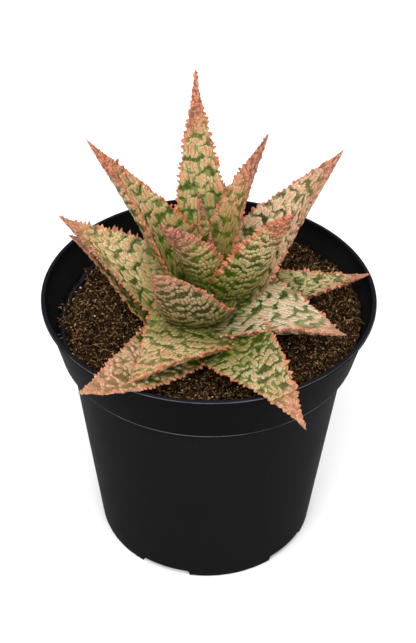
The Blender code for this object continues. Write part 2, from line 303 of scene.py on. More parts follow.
# A leaf's colours, and then shares: how wide the coral cores are, how far the skin ripens to the
# pale colour, how far up the root's green reaches, and where the tip's tint starts. A shaded
# flank is the direction, seen from above, in which the skin stays green.
Skin = namedtuple(
    "Skin",
    "green second_green pale cream coral margin tip core_reach bleach green_to tip_from shaded_flank",
    defaults=[None],
)
SKINS = {
    "outer": Skin(
        srgb(36, 50, 2), srgb(24, 42, 8), srgb(120, 122, 58), srgb(194, 190, 150),
        srgb(198, 114, 74), srgb(182, 114, 88), srgb(136, 84, 72), 0.53, 0.25, 0.72, 0.75,
    ),
    "pale": Skin(
        srgb(46, 64, 6), srgb(32, 52, 16), srgb(152, 148, 96), srgb(212, 208, 184),
        srgb(212, 122, 82), srgb(190, 124, 102), srgb(156, 106, 92), 0.52, 0.4, 0.5, 0.78,
    ),
    "sandy": Skin(
        srgb(50, 66, 6), srgb(34, 52, 14), srgb(150, 142, 80), srgb(214, 202, 158),
        srgb(208, 120, 78), srgb(186, 118, 92), srgb(132, 84, 74), 0.56, 0.3, 0.6, 0.72,
    ),
    "beige": Skin(
        srgb(44, 58, 4), srgb(32, 48, 12), srgb(152, 142, 84), srgb(214, 198, 152),
        srgb(208, 120, 76), srgb(184, 114, 86), srgb(158, 108, 80), 0.54, 0.5, 0.7, 0.88,
    ),
    "ripe": Skin(
        srgb(34, 48, 4), srgb(38, 48, 10), srgb(148, 110, 74), srgb(210, 180, 150),
        srgb(190, 112, 80), srgb(186, 126, 96), srgb(206, 168, 128), 0.4, 0.85, 0.7, 0.84, (0.87, -0.5),
    ),
    "grey": Skin(
        srgb(38, 50, 16), srgb(30, 42, 14), srgb(100, 98, 54), srgb(172, 154, 118),
        srgb(190, 112, 80), srgb(186, 118, 94), srgb(136, 104, 94), 0.48, 0.2, 0.6, 0.84,
    ),
    "peach": Skin(
        srgb(46, 58, 6), srgb(34, 48, 12), srgb(160, 142, 92), srgb(222, 206, 176),
        srgb(216, 128, 92), srgb(194, 118, 94), srgb(116, 74, 64), 0.56, 0.3, 0.5, 0.74,
    ),
    "inner": Skin(
        srgb(54, 68, 2), srgb(36, 54, 8), srgb(136, 134, 70), srgb(200, 190, 150),
        srgb(214, 108, 70), srgb(194, 104, 80), srgb(84, 56, 46), 0.64, 0.25, 0.64, 0.66,
    ),
    "rusty": Skin(
        srgb(84, 98, 6), srgb(88, 76, 30), srgb(160, 132, 78), srgb(204, 164, 128),
        srgb(200, 110, 84), srgb(186, 110, 92), srgb(88, 54, 52), 0.6, 0.4, 0.66, 0.6,
    ),
    "young": Skin(
        srgb(80, 100, 8), srgb(58, 76, 12), srgb(152, 142, 74), srgb(200, 178, 132),
        srgb(200, 110, 80), srgb(182, 104, 90), srgb(76, 42, 48), 0.56, 0.25, 0.6, 0.6,
    ),
}


def leaf_masks(skin, kind, look):
    """What the mesh says of each point and the noises that break it up, with the masks that follow.
    Away is the distance from the straight middle line of the nearest spot, in half widths."""
    across, along, straight = skin.attribute("spot")
    tone, upper, band = skin.attribute("tone")
    edge, reach, tooth = skin.attribute("place")
    fine = skin.noise(0.9, 3)
    wide = skin.noise(9, 2)
    mottle = skin.noise(1.7, 4)
    aside, ahead, sway = skin.sway(2.3)
    across = across + aside * 0.2
    along = along + ahead * 0.5
    ends = (abs(along) - straight).at_least(0)
    away = (across * across + ends * ends) ** 0.5 + (fine - 0.5) * 0.8
    rooted = 1 - (reach + (wide - 0.5) * 0.4).steps(look.green_to - 0.45, look.green_to)
    grown = reach.steps(0.55, 1.0)
    ripe_from = 0.4 - 0.1 * look.bleach
    ripened = (reach + (wide - 0.5) * 0.6).steps(ripe_from, ripe_from + 0.35) * look.bleach
    ripened = ripened * (1 - rooted)
    if look.shaded_flank:
        x, y, _ = skin.split(skin.places())
        flank = (x / MM * look.shaded_flank[0] + y / MM * look.shaded_flank[1]).steps(-2, 4)
        flank = flank * (1 - reach.steps(0.62, 0.85))
        ripened = ripened * (1 - flank)
        grown = grown * (1 - flank)
        rooted = rooted.at_least(flank * 0.6)
    weathered = reach + (fine - 0.5) * 0.3 + (wide - 0.5) * 0.3
    tipped = weathered.steps(look.tip_from, look.tip_from + 0.2) * 0.85
    warts_end = 1 - WARTS.bar / WARTS.row_pitch
    spots_end = 1 - SPOTTING[kind].bar / SPOTTING[kind].row_pitch
    row_end = upper * (spots_end - warts_end) + warts_end
    streaks = 1 - (band - row_end + sway * 0.1 + (fine - 0.5) * 0.35).steps(-0.08, 0.1)
    return SimpleNamespace(
        along=along, away=away, tone=tone, upper=upper, edge=edge, reach=reach, tooth=tooth,
        fine=fine, wide=wide, mottle=mottle, rooted=rooted, grown=grown, ripened=ripened,
        tipped=tipped, streaks=streaks,
    )


def leaf_ground(skin, look, at):
    """The green between the spots, mottled, ripened and tipped, with a pale streak along each row."""
    ground = skin.mix(at.wide.steps(0.35, 0.65), look.green, look.second_green)
    ground = skin.mix(at.rooted * 0.8, ground, ROOT_GREEN)
    ground = skin.mix((at.mottle - 0.45).at_least(0) * 2.6, ground, DEEP_GREEN)
    faded = (0.46 - at.mottle).at_least(0) * 2.6 * (1 - at.rooted * 0.6)
    ground = skin.mix(faded, ground, look.pale)
    ground = skin.mix(at.ripened, ground, look.pale)
    halo = 1 - at.away.steps(1.1, 1.8)
    streaked = (at.streaks * 0.7).at_least(halo * 0.75) * (1 - at.rooted * 0.7)
    ground = skin.mix(streaked, ground, look.pale)
    return skin.mix(at.tipped, ground, look.margin)


def leaf_spots(skin, look, at, ground):
    """The spots' pale bodies with a faint green seam and a coral core. Gives their mask as well."""
    merged = skin.noise(3.5, 2).steps(0.45, 0.65) * 0.4
    body = 1 - (at.away - merged).steps(0.8, 1.3)
    shell = skin.mix(at.tone * 0.25 + (at.fine - 0.4) * 1.1, look.cream, look.pale)
    shell = skin.mix(at.rooted * 0.8, shell, ROOT_SPOT)
    shell = skin.mix(at.grown * (0.2 + 0.5 * at.wide), shell, GROWN_SPOT)
    colour = skin.mix(body * (1 - at.rooted * 0.5) * (1 - at.tipped * 0.4), ground, shell)
    seam = (at.away.steps(0.9, 1.08) - at.away.steps(1.2, 1.4)) * at.streaks * (1 - merged * 2.5)
    colour = skin.mix(seam * 0.1 * (1 - look.bleach), colour, look.green)
    core = at.away - at.grown * 0.4 + 0.12 * (1 - at.upper)
    core = 1 - core.steps(look.core_reach - 0.28, look.core_reach + 0.3)
    broken = skin.noise(1.6, 1).steps(0.38, 0.56)
    dashes = (at.along * 0.33 + at.tone * 5).math("FRACT")
    split = 1 - abs(dashes - 0.5).steps(0.28, 0.46) * at.tone.steps(0.3, 0.6)
    strength = (0.6 + 0.4 * broken) * (0.35 + 0.65 * split) * (0.7 + 0.3 * at.tone)
    return body, skin.mix(core * strength * (1 - at.rooted * 0.6), colour, look.coral)


def leaf_margin(skin, look, at, colour):
    """The coral border and its teeth, worn brown in places and cream in others."""
    border = 1 - (at.edge * (0.4 + 0.6 * at.upper) + (at.mottle - 0.5) * 1.6).steps(0.0, 0.45)
    wear_and_highlight = skin.mix(skin.noise(1.2, 3).steps(0.3, 0.7), look.margin, look.coral)
    wear_and_highlight = skin.mix((at.mottle - 0.52).at_least(0) * 3.5, wear_and_highlight, WORN_BROWN)
    wear_and_highlight = skin.mix((0.44 - at.mottle).at_least(0) * 4, wear_and_highlight, look.cream)
    border = (border * 0.5).at_least(at.tooth.steps(0.35, 0.8))
    border = border * (0.1 + 0.9 * at.reach.steps(0.08, 0.3)) * (1 - at.tipped * 0.55)
    return skin.mix(border, colour, wear_and_highlight)


def leaf_finish(kind, look):
    skin = Finish(kind + " leaf", Specular_IOR_Level=0.16)
    at = leaf_masks(skin, kind, look)
    body, colour = leaf_spots(skin, look, at, leaf_ground(skin, look, at))
    colour = leaf_margin(skin, look, at, colour)
    colour = skin.mix(at.tipped * at.mottle.steps(0.49, 0.56) * 0.85, colour, look.tip)
    specks = (skin.noise(0.55, 2) - 0.4).at_least(0) * 1.4
    colour = skin.mix(specks, colour, SPECK_BROWN)
    glints = (skin.noise(0.7, 1) - 0.62).at_least(0) * 5 * at.reach.steps(0.3, 0.8)
    colour = skin.mix(glints.at_most(0.25), colour, GLINT)
    skin.show("Base Color", colour)
    skin.show("Roughness", 0.36 + 0.26 * at.fine + 0.08 * body)
    dome = 1 - at.away.steps(0.1, 1.5)
    skin.bump(at.fine * 0.5 + skin.noise(0.35, 2) * 0.5 + dome * 0.6, 0.28)
    return skin.material


def pot_finish():
    """Near black, with painted shade on the collar's outside, painted light on its inner wall, a painted
    reflection on the lip's top, and a pale painted highlight line on the ledge and on the lip.
    """
    plastic = Finish("moulded black plastic", Specular_IOR_Level=0.008)
    grain = plastic.noise(0.5, 3)
    cloud = plastic.noise(24, 3)
    stretched = plastic.add(
        "Mapping", {"vector_type": "POINT"}, {"Vector": plastic.places(), "Scale": (1, 1, 0.12)}
    )
    scuff = plastic.noise(1.6, 4, stretched).steps(0.6, 0.8)
    colour = plastic.mix(cloud, srgb(16, 16, 17), srgb(21, 21, 22))
    colour = plastic.mix(scuff * 0.15, colour, srgb(34, 34, 36))
    x, y, z = [part / MM for part in plastic.split(plastic.places())]
    radius = (x * x + y * y) ** 0.5
    foot = POT_HEIGHT - COLLAR_HEIGHT
    slope = (COLLAR_TOP_RADIUS - COLLAR_FOOT_RADIUS) / COLLAR_HEIGHT
    outside = (radius - (z - foot) * slope - COLLAR_FOOT_RADIUS + POT_WALL / 2).steps(-0.3, 0.3)
    collar = z.steps(foot, foot + 0.5)
    # Painted shade: the collar's outside is darkened, for the dimmer reflection that it shows.
    colour = plastic.mix(collar * outside * 0.8, colour, srgb(8, 8, 9))
    # Painted light: the collar's inner wall is lifted a little, against the shade inside the pot.
    colour = plastic.mix(collar * (1 - outside), colour, srgb(22, 21, 22))
    # Painted reflection: the lip's flat top is a little lighter and bluer, for the light it reflects.
    lip_start = COLLAR_TOP_RADIUS
    lip = radius.steps(lip_start - 0.4, lip_start + 0.1)
    lip = z.steps(POT_HEIGHT - 1, POT_HEIGHT - 0.4) * lip
    colour = plastic.mix(lip, colour, srgb(24, 23, 28))
    edge = z + (LIP_RADIUS - radius)
    # Painted highlights: thin pale lines along the collar's foot and along the lip's outer edge, for the
    # light that these rounded edges catch.
    for gauge, level, where, tone in (
        (z, foot + 0.5, 1, srgb(100, 100, 102)),
        (edge, POT_HEIGHT - 0.35, radius.steps(lip_start - 0.1, lip_start + 0.5), srgb(84, 84, 88)),
    ):
        wear_and_highlight = 1 - abs(gauge - level + (grain - 0.5) * 0.3).steps(0.12, 0.42)
        colour = plastic.mix(wear_and_highlight * cloud.steps(0.25, 0.6) * where, colour, tone)
    plastic.show("Base Color", colour)
    plastic.show("Roughness", 0.42 + 0.14 * cloud + 0.1 * grain)
    plastic.bump(grain * 0.6 + cloud * 0.4, 0.05)
    return plastic.material


def film_finish():
    film = Finish("damp plastic", Specular_IOR_Level=0.1)
    drops = film.noise(1.2, 3)
    film.show("Base Color", film.mix(drops, srgb(3, 3, 6), srgb(12, 13, 20)))
    film.show("Roughness", 0.3 + 0.3 * drops)
    film.bump(drops, 0.3)
    return film.material


def soil_finish(name, dark, middle, light):
    """Peat in random patches of dark and middle brown, with paler fibres; its near black dark is painted
    shade for the gaps between the crumbs.
    """
    peat = Finish(name, Specular_IOR_Level=0.05)
    fine = peat.noise(0.8, 4)
    coarse = peat.noise(3.0, 3)
    colour = peat.mix((fine * 0.6 + coarse * 0.4).steps(0.42, 0.6), dark, middle)
    colour = peat.mix(peat.noise(1.1, 2).steps(0.56, 0.72), colour, light)
    peat.show("Base Color", colour)
    peat.show("Roughness", 0.95 - 0.2 * fine)
    peat.bump(fine * 0.7 + coarse * 0.3, 0.8)
    return peat.material


def grain_finish(name, low, high):
    grain = Finish(name, Specular_IOR_Level=0.3)
    fine = grain.noise(0.6, 3)
    grain.show("Base Color", grain.mix(fine, low, high))
    grain.show("Roughness", 0.6 + 0.3 * fine)
    grain.bump(fine, 0.15)
    return grain.material


def floor_finish():
    paper = Finish("studio floor", Specular_IOR_Level=0.1)
    paper.show("Base Color", paper.mix(paper.noise(120), srgb(247, 247, 247), srgb(250, 250, 250)))
    paper.show("Roughness", 0.85 + 0.1 * paper.noise(40))
    return paper.material


# Modelling tools


def clear_selection():
    bpy.ops.object.select_all(action="DESELECT")


def select_only(made):
    clear_selection()
    made.select_set(True)
    bpy.context.view_layer.objects.active = made


def named(name, finish):
    """The active object, under its own name and with its material."""
    made = bpy.context.object
    made.name = made.data.name = name
    made.data.materials.clear()
    made.data.materials.append(finish)
    return made


def apply_place(made):
    select_only(made)
    bpy.ops.object.transform_apply(location=True, rotation=True, scale=True)


def smooth_by_angle(made, degrees):
    select_only(made)
    bpy.ops.object.shade_smooth_by_angle(angle=math.radians(degrees))


def mesh_object(name, points, faces, finish):
    mesh = bpy.data.meshes.new(name)
    mesh.from_pydata(points, [], faces)
    made = bpy.data.objects.new(name, mesh)
    bpy.context.scene.collection.objects.link(made)
    mesh.materials.append(finish)
    return made


def declare(piece, slot, *nodes):
    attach(piece, "root")
    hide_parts(*nodes)


# Pot


def pot_inner_radius(height):
    ledge = POT_HEIGHT - COLLAR_HEIGHT + POT_WALL
    if height < ledge:
        return np.interp(height, (0, ledge), (BASE_RADIUS, BODY_TOP_RADIUS)) - POT_WALL
    return np.interp(height, (ledge, POT_HEIGHT), (COLLAR_FOOT_RADIUS, COLLAR_TOP_RADIUS)) - POT_WALL


def rounded(corner, before, after, radius):
    """Points of a soft corner of a profile, between the corners before and after it."""
    if not radius:
        return [corner]
    corner, before, after = (np.array(p, float) for p in (corner, before, after))
    first = corner + (before - corner) / np.linalg.norm(before - corner) * radius
    last = corner + (after - corner) / np.linalg.norm(after - corner) * radius
    return [
        tuple((1 - s) ** 2 * first + 2 * s * (1 - s) * corner + s * s * last)
        for s in np.linspace(0, 1, CORNER_STEPS)
    ]


def pot_profile():
    """(radius, height) from under the base, up outside, over the lip and down to the inner floor."""
    foot = POT_HEIGHT - COLLAR_HEIGHT
    lip = POT_HEIGHT - LIP_DEPTH
    above_slots = 6
    plate_radius = BASE_RADIUS - 8
    slope = (BODY_TOP_RADIUS - BASE_RADIUS) / foot
    corners = [
        (plate_radius, 0, 0),
        (BASE_RADIUS, 0, 1.6),
        (BASE_RADIUS + slope * above_slots, above_slots, 0),
        (BODY_TOP_RADIUS, foot, 0.8),
        (COLLAR_FOOT_RADIUS, foot, 0.7),
        (COLLAR_TOP_RADIUS, lip, 0.5),
        (LIP_RADIUS, lip + 0.3, 0.5),
        (LIP_RADIUS, POT_HEIGHT, 0.9),
        (COLLAR_TOP_RADIUS - 0.4, POT_HEIGHT, 0.9),
        (pot_inner_radius(foot + 2 * POT_WALL), foot + 2 * POT_WALL, 0.8),
        (pot_inner_radius(foot), foot + POT_WALL, 0.8),
        (pot_inner_radius(above_slots), above_slots, 0),
        (pot_inner_radius(POT_FLOOR), POT_FLOOR, 1.2),
        (plate_radius, POT_FLOOR, 0),
    ]
    points = [corners[0][:2]]
    for before, corner, after in zip(corners, corners[1:], corners[2:]):
        points += rounded(corner[:2], before[:2], after[:2], corner[2])
    return points + [corners[-1][:2]]


def add_pot(finish):
    """A ring of edges is drawn up and over the profile, and the slots are then cut."""
    profile = pot_profile()
    radius, height = profile[0]
    bpy.ops.mesh.primitive_circle_add(vertices=POT_SIDES, radius=radius * MM, fill_type="NGON")
    pot = named("pot_shell", finish)
    bpy.ops.object.mode_set(mode="EDIT")
    bpy.ops.mesh.select_mode(type="EDGE")
    bpy.ops.mesh.select_all(action="SELECT")
    for new_radius, new_height in profile[1:]:
        bpy.ops.mesh.extrude_edges_move(
            TRANSFORM_OT_translate={"value": (0, 0, (new_height - height) * MM)}
        )
        size = new_radius / radius
        bpy.ops.transform.resize(value=(size, size, 1), center_override=(0, 0, 0))
        radius, height = new_radius, new_height
    bpy.ops.mesh.edge_face_add()
    bpy.ops.mesh.select_all(action="SELECT")
    bpy.ops.mesh.normals_make_consistent(inside=False)
    bpy.ops.object.mode_set(mode="OBJECT")
    for number in range(SLOT_COUNT):
        cut_slot(pot, SLOT_FIRST + number * math.tau / SLOT_COUNT)
    smooth_by_angle(pot, 35)
    return pot


def cut_slot(pot, angle):
    place = (BASE_RADIUS * MM * math.cos(angle), BASE_RADIUS * MM * math.sin(angle), 0)
    bpy.ops.mesh.primitive_cube_add(size=1, location=place, rotation=(0, 0, angle))
    cutter = bpy.context.object
    cutter.scale = [side * MM for side in SLOT_SIZE]
    apply_place(cutter)
    bpy.ops.object.mode_set(mode="EDIT")
    bpy.ops.mesh.select_all(action="SELECT")
    bpy.ops.mesh.bevel(offset=SLOT_SOFTNESS * MM, segments=3, affect="EDGES")
    bpy.ops.object.mode_set(mode="OBJECT")
    select_only(pot)
    cut = pot.modifiers.new("slot", "BOOLEAN")
    cut.operation = "DIFFERENCE"
    cut.solver = "EXACT"
    cut.object = cutter
    bpy.ops.object.modifier_apply(modifier=cut.name)
    bpy.data.objects.remove(cutter)


# Leaves


def clasp(t):
    return np.clip(1 - t / CLASP_SHARE, 0, 1)


def half_width(leaf, t):
    narrowing = np.clip(1 - t * t, 0, 1) ** leaf.taper / FULL_WIDTH
    rooted = 1 - 0.5 * np.clip(1 - t / 0.09, 0, 1) ** 2
    blade = leaf.width / 2 * narrowing * rooted * (1 - (1 - CLASP_WIDTH) * clasp(t) ** 2)
    tip = TIP_RADIUS * np.clip((1 - t) * leaf.length / TIP_LENGTH, 0, 1) ** 0.5
    return np.cbrt(blade**3 + tip**3)


def leaf_frame(leaf, t):
    """Points along a leaf's middle in mm, with its forward, upward and sideways directions."""
    azimuth = np.radians(leaf.azimuth + leaf.turn * t)
    near, half, far = (1 - t) * (1 - 2 * t), 4 * t * (1 - t), t * (2 * t - 1)
    rise = np.radians(leaf.rise_root * near + leaf.rise_mid * half + leaf.rise_tip * far)[:, None]
    outward = np.stack([np.cos(azimuth), np.sin(azimuth), np.zeros(len(t))], -1)
    straight_up = np.array([0, 0, 1])
    forward = np.cos(rise) * outward + np.sin(rise) * straight_up
    upward = np.cos(rise) * straight_up - np.sin(rise) * outward
    side = np.cross(forward, upward)
    roll = np.radians(leaf.roll_root + (leaf.roll_tip - leaf.roll_root) * t)[:, None]
    upward = upward * np.cos(roll) + side * np.sin(roll)
    side = np.cross(forward, upward)
    out = math.radians(leaf.azimuth)
    root = np.array([leaf.start * math.cos(out), leaf.start * math.sin(out), leaf.height])
    steps = (forward[1:] + forward[:-1]) / 2 * np.diff(t)[:, None] * leaf.length
    middle = root + np.vstack([np.zeros(3), np.cumsum(steps, axis=0)])
    return middle, forward, upward, side


class Spots:
    """The rows of spots on one face of a leaf. Upper faces have long ones, lower faces round ones.
    Distances are in mm: v runs along the leaf and u across it, drawn in a little where it narrows."""

    def __init__(self, leaf, random, upper):
        size = min(1.12, 0.55 + 0.45 * leaf.width / 30)
        spotting = SPOTTING[leaf.skin] if upper else WARTS
        self.relief = spotting.relief
        self.pitch = spotting.pitch * size
        row_pitch = spotting.row_pitch * size
        rows = [random.uniform(0, row_pitch)]
        while rows[-1] < leaf.length:
            share = rows[-1] / leaf.length
            step = row_pitch * (1.12 - 0.4 * share)
            rows.append(rows[-1] + step * random.uniform(0.85, 1.15))
        self.rows = np.array(rows)
        self.gaps = np.gradient(self.rows)
        count = len(rows)
        self.reach = int(leaf.width / 2 / self.pitch) + 3
        shape = (count, 2 * self.reach + 1)
        columns = np.arange(-self.reach, self.reach + 1)
        self.start = random.uniform(-0.5, 0.5, count)
        wave = 1.1 if upper else 1.3
        phase = random.uniform(0, math.tau, (count, 2))
        slow = np.sin(columns * 0.45 + phase[:, :1])
        quick = np.sin(columns * 1.3 + phase[:, 1:])
        self.wave = wave * slow + wave * 0.7 * quick
        self.shift = random.normal(0, 0.7 if upper else 0.2, shape)
        self.aside = random.uniform(-0.14, 0.14, shape) * self.pitch
        self.wide = self.pitch * random.uniform(0.36, 0.52, shape) * (1 if upper else 0.9)
        far = np.interp(self.rows / leaf.length, (0.6, 0.92), (1, 0.45))[:, None]
        least, most = (0.3, 2.4) if upper else (0.8, 1.2)
        free = spotting.bar * size * random.uniform(least, most, shape)
        self.straight = np.clip((self.gaps[:, None] - free) / 2 - self.wide, 0.15, None) * far
        patch = np.sin(columns * 0.45 + phase[:, 1:] * 2) * np.sin(self.rows * 0.3)[:, None]
        missing = random.uniform(0, 1, shape) < (0.03 + 0.2 * (patch > 0.55)) * far
        self.straight[missing] = NO_SPOT
        self.tone = random.uniform(0, 1, shape)

    def nearest(self, u, v):
        """For each point its place in the nearest spot, in half widths, with the spot's straight
        part and tone, its distance from the spot's straight middle line, and how near it is to
        the middle of a row (0) or a gap (1)."""
        best = np.full(u.shape, np.inf)
        found = [np.zeros(u.shape) for _ in range(4)]
        band = np.full(u.shape, np.inf)
        below = np.searchsorted(self.rows, v) - 1
        for step in (-1, 0, 1, 2):
            row = np.clip(below + step, 0, len(self.rows) - 1)
            middle = np.rint(u / self.pitch - self.start[row]).astype(int)
            for column in (middle - 1, middle, middle + 1):
                index = np.clip(column + self.reach, 0, 2 * self.reach)
                width = self.wide[row, index]
                centre = self.rows[row] + self.wave[row, index]
                x = (u - (column + self.start[row]) * self.pitch - self.aside[row, index]) / width
                y = (v - centre - self.shift[row, index]) / width
                straight = self.straight[row, index] / width
                away = np.hypot(x, np.maximum(np.abs(y) - straight, 0))
                nearer = away < best
                best = np.where(nearer, away, best)
                for kept, new in zip(found, (x, y, straight, self.tone[row, index])):
                    kept[nearer] = new[nearer]
                if column is middle:
                    band = np.minimum(band, np.abs(v - centre) / (self.gaps[row] / 2))
        return (*found, best, band)


def teeth_at(leaf, v, random):
    """How far the margin stands out at each distance along it, and how much each tooth turns up."""
    out, turn = np.zeros(len(v)), np.zeros(len(v))
    place = 0.08 * leaf.length
    ragged = random.uniform(0.75, 1.15)
    while place < leaf.length - 1.5:
        wide = half_width(leaf, np.array([place / leaf.length]))[0]
        size = np.clip(wide / 5, 0.35, 1) * np.clip(place / leaf.length / 0.2, 0.3, 1)
        tall = size * ragged * leaf.teeth * random.uniform(0.4, 1.8)
        broad = random.uniform(0.5, 1.2) * (0.6 + 0.4 * size) / max(1, 0.75 * leaf.teeth)
        bluntness = random.uniform(0.2, 0.5)
        here = tall * np.clip(1 - np.abs(v - place) / broad, 0, 1) ** bluntness
        turn = np.where(here > out, random.uniform(-35, 55), turn)
        out = np.maximum(out, here)
        place += random.uniform(1.1, 3.0) * (0.6 + 0.4 * size)
    return out, np.radians(turn)


def section_columns(leaf):
    """Where the mesh's columns lie round the leaf: sideways place, lift and share of the rim's
    roundness. They run over the upper face, round one margin, under and round the other."""
    flats = max(5, round(leaf.width / MESH_ACROSS / 2) * 2)
    over = [(q, 1, 0) for q in np.linspace(-1, 1, flats + 1)]
    cap = [(1, math.sin(a), math.cos(a)) for a in np.radians((50, 0, -50))]
    under = [(q, -1, 0) for q in np.linspace(1, -1, flats + 1)]
    back = [(-q, lift, share) for q, lift, share in cap[::-1]]
    return np.array([*over, *cap, *under, *back, over[0]]).T


def leaf_points(leaf, seed):
    """The leaf's surface as a grid of points in mm, stations by columns, with what its skin needs."""
    random = np.random.default_rng(100 + seed)
    stations = max(12, round(leaf.length / MESH_ALONG))
    t = np.linspace(0, 1, stations + 1)
    t_root = -ROOT_INSET / leaf.length * min(1, leaf.start / 6)
    middle, forward, upward, side = leaf_frame(leaf, t)
    middle = np.vstack([middle[:1] + forward[:1] * t_root * leaf.length, middle])
    forward, upward, side = (np.vstack([d[:1], d]) for d in (forward, upward, side))
    t = np.concatenate([[t_root], t])
    q, lift, share = section_columns(leaf)
    wide = half_width(leaf, t)
    rim = np.minimum(RIM, 0.35 * wide)
    swelling = 1 - (1 - CLASP_THICKNESS) * clasp(t) ** 2
    deep = THICKNESS * leaf.width * swelling * (1 - np.clip(t, 0, 1) ** 2.5) ** 0.8
    deep = np.minimum(deep, 0.95 * wide)
    deep = np.maximum(deep - 2 * rim, 0.3 * deep)
    cup = (leaf.cup + CLASP_CUP * clasp(t) ** 1.5) * wide

    w, r = wide[:, None], rim[:, None]
    lateral = q * (w - r) + np.sign(q) * share * r
    x = lateral / np.maximum(w, 1e-6)
    under = (lift == -1) & (share == 0)
    height = cup[:, None] * x**2 - r * (1 - lift) - deep[:, None] * (1 - q**2) ** 0.6 * under
    v = np.clip(t, 0, 1) * leaf.length
    ripple = [random.uniform(0, math.tau) for _ in range(4)]
    wave = np.sin(v / 5.1 + ripple[0]) + 0.7 * np.sin(v / 2.9 + ripple[1])
    other = np.sin(v / 4.3 + ripple[2]) + 0.7 * np.sin(v / 3.2 + ripple[3])
    fade = np.clip(wide / 8, 0, 1) * np.clip(t / 0.2, 0, 1)
    ruffle = np.where(x > 0, wave[:, None], other[:, None])
    height = height + 0.22 * fade[:, None] * np.abs(x) ** 3 * ruffle

    from_margin = w - np.abs(lateral) - r * (1 - share)
    on_rim = np.where(share > 0.9, 1.0, 0.8)
    beside_rim = 0.6 * np.exp(-((from_margin / 0.8) ** 2))
    grip = np.where(share > 0, on_rim, beside_rim)
    push = np.zeros(lateral.shape)
    turn = np.zeros(lateral.shape)
    for sign in (-1, 1):
        out, up = teeth_at(leaf, v, random)
        push = np.where(q * sign > 0.5, out[:, None], push)
        turn = np.where(q * sign > 0.5, up[:, None], turn)
    push = push * grip
    lateral = lateral + np.sign(q) * push * np.cos(turn)
    height = height + push * np.sin(turn)
    points = (
        middle[:, None]
        + side[:, None] * lateral[..., None]
        + upward[:, None] * height[..., None]
        + forward[:, None] * (0.35 * push)[..., None]
    )

    drawn = (wide / (leaf.width / 2)) ** 0.65
    u = x * (leaf.width / 2) * drawn[:, None]
    top = (lift > 0) | ((lift == 0) & (q > 0))
    return points, u, np.broadcast_to(v[:, None], u.shape), t, from_margin, push, top


def surface_normals(points):
    """Unit normals of a grid of points that closes on itself across."""
    along = np.gradient(points, axis=0)
    ring = points[:, :-1]
    across = np.roll(ring, -1, axis=1) - np.roll(ring, 1, axis=1)
    across = np.concatenate([across, across[:, :1]], axis=1)
    normal = np.cross(across, along)
    return normal / np.maximum(np.linalg.norm(normal, axis=2, keepdims=True), 1e-9)


def store(mesh, name, domain, values):
    """Three numbers for each point or face corner, which the material reads back by name."""
    made = mesh.attributes.new(name, "FLOAT_VECTOR", domain)
    made.data.foreach_set("vector", np.ascontiguousarray(values, np.float32).ravel())


def raised(points, u, v, t, from_margin, top, leaf, spots_of):
    """The leaf's points with the relief of its spots and warts, and with lumps along its margins."""
    tall = np.empty(u.shape)
    for is_top, spots in spots_of.items():
        mine = top == is_top
        away = spots.nearest(u[:, mine], v[:, mine])[4]
        tall[:, mine] = spots.relief * np.clip(1.2 - away, 0, 1) ** 1.1
    half = half_width(leaf, t)[:, None]
    tall *= np.clip(from_margin / 0.8, 0, 1) * np.clip(t[:, None] / 0.12, 0, 1)
    tall *= np.clip(half / 3.5, 0, 1)
    lumps = 0.12 * np.sin(u * 2.1 + v * 0.8) * np.sin(v * 1.9 - u * 0.7)
    edge = np.clip(1 - from_margin / 1.1, 0, 1) * np.clip(half / 6, 0, 1)
    points = points + surface_normals(points) * (tall + edge * 1.8 * lumps)[..., None]
    points[-1] = points[-1].mean(axis=0)
    return points


def wrapped_grid(name, points, finish):
    """A flat grid that is moved onto rows of points in mm, with each vertex's row and column."""
    rows, columns = points.shape[:2]
    clear_selection()
    bpy.ops.mesh.primitive_grid_add(x_subdivisions=columns - 1, y_subdivisions=rows - 1, size=1)
    made = named(name, finish)
    vertices = made.data.vertices
    place = np.empty(len(vertices) * 3, np.float32)
    vertices.foreach_get("co", place)
    place = place.reshape(-1, 3) + 0.5
    i = np.rint(place[:, 1] * (rows - 1)).astype(int)
    j = np.rint(place[:, 0] * (columns - 1)).astype(int)
    vertices.foreach_set("co", (points[i, j] * MM).astype(np.float32).ravel())
    return made, i, j


def face_middles(values, i, j):
    return (values[i, j] + values[i + 1, j] + values[i, j + 1] + values[i + 1, j + 1]) / 4


def store_spots(mesh, i, j, u, v, top, spots_of):
    """Each face keeps the spot that is nearest to its middle, so no two spots blend inside it."""
    corner_point = np.empty(len(mesh.loops), np.int32)
    mesh.loops.foreach_get("vertex_index", corner_point)
    starts = np.empty(len(mesh.polygons), np.int32)
    mesh.polygons.foreach_get("loop_start", starts)
    face_of = np.repeat(np.arange(len(starts)), 4)
    ci, cj = i[corner_point], j[corner_point]
    fi, fj = np.minimum.reduceat(ci, starts), np.minimum.reduceat(cj, starts)
    face_top = top[fj] & top[fj + 1]
    middle_u, middle_v = face_middles(u, fi, fj), face_middles(v, fi, fj)
    spot, tone = np.zeros((len(ci), 3)), np.zeros((len(ci), 3))
    for is_top, spots in spots_of.items():
        x, y, straight, shade, _, _ = spots.nearest(middle_u, middle_v)
        mine = (face_top == is_top)[face_of]
        width = spots.pitch * USUAL_HALF_WIDTH
        dx = (u[ci, cj] - middle_u[face_of]) / width
        dy = (v[ci, cj] - middle_v[face_of]) / width
        here = np.stack([x[face_of] + dx, y[face_of] + dy, straight[face_of]], -1)
        spot[mine] = here[mine]
        band = spots.nearest(u[ci, cj], v[ci, cj])[5]
        look = np.stack([shade[face_of], np.full(len(ci), float(is_top)), band], -1)
        tone[mine] = look[mine]
    store(mesh, "spot", "CORNER", spot)
    store(mesh, "tone", "CORNER", tone)


